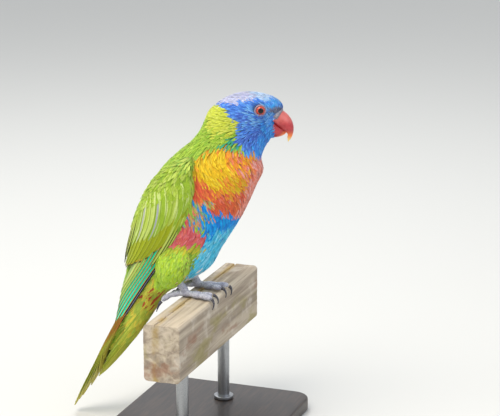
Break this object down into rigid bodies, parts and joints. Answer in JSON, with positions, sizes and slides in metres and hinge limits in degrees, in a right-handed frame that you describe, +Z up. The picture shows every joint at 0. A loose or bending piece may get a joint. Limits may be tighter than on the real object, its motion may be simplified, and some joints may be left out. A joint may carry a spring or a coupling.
{
  "type": "rainbow lorikeet",
  "caption": "Life-size rainbow lorikeet perched across a short cut length of weathered timber rail, on a plain display stand.",
  "frame": {"origin": "centre of the stand base's underside, on the floor", "axes": "+Z up, +X the way the bird faces, +Y to the bird's left, along the rail"},
  "size_m": [0.1733, 0.16, 0.2593],
  "materials": {
    "head_feathers": "silky short feathers, pale streaks on the crown",
    "neck_feathers": "silky feathers, blue in front and a lime collar behind",
    "body_feathers": "silky feathers, red and yellow breast, blue belly, green back",
    "tail_feathers": "smooth long feathers, green above and olive yellow below",
    "wing_feathers": "smooth feathers, green with dark flight feathers",
    "thigh_feathers": "soft loose feathers, lime green",
    "foot_skin": "dry scaly skin, matt",
    "eye_surface": "wet gloss, red iris and black pupil",
    "bill_horn": "smooth horn, satin, paler at the tip",
    "cere_skin": "bare skin, matt",
    "claw_horn": "smooth horn, satin",
    "weathered_timber": "bare weathered timber, matt, stained",
    "stand_board": "dark stained board, satin",
    "stand_steel": "satin"
  },
  "bodies": {
    "root": {"head": "head_feathers", "neck": "neck_feathers", "torso": "body_feathers", "tail": "tail_feathers", "wing_left": "wing_feathers", "wing_right": "wing_feathers", "thigh_left": "thigh_feathers", "thigh_right": "thigh_feathers", "foot_left": "foot_skin", "foot_right": "foot_skin", "eye_left": "eye_surface", "eye_right": "eye_surface", "bill_upper": "bill_horn", "bill_lower": "bill_horn", "cere": "cere_skin", "perch_rail": "weathered_timber", "stand_base": "stand_board", "stand_rod_left": "stand_steel", "stand_rod_right": "stand_steel", "claw_left_inner_front": "claw_horn", "claw_left_outer_front": "claw_horn", "claw_left_inner_back": "claw_horn", "claw_left_outer_back": "claw_horn", "claw_right_inner_front": "claw_horn", "claw_right_outer_front": "claw_horn", "claw_right_inner_back": "claw_horn", "claw_right_outer_back": "claw_horn"}
  },
  "joints": []
}
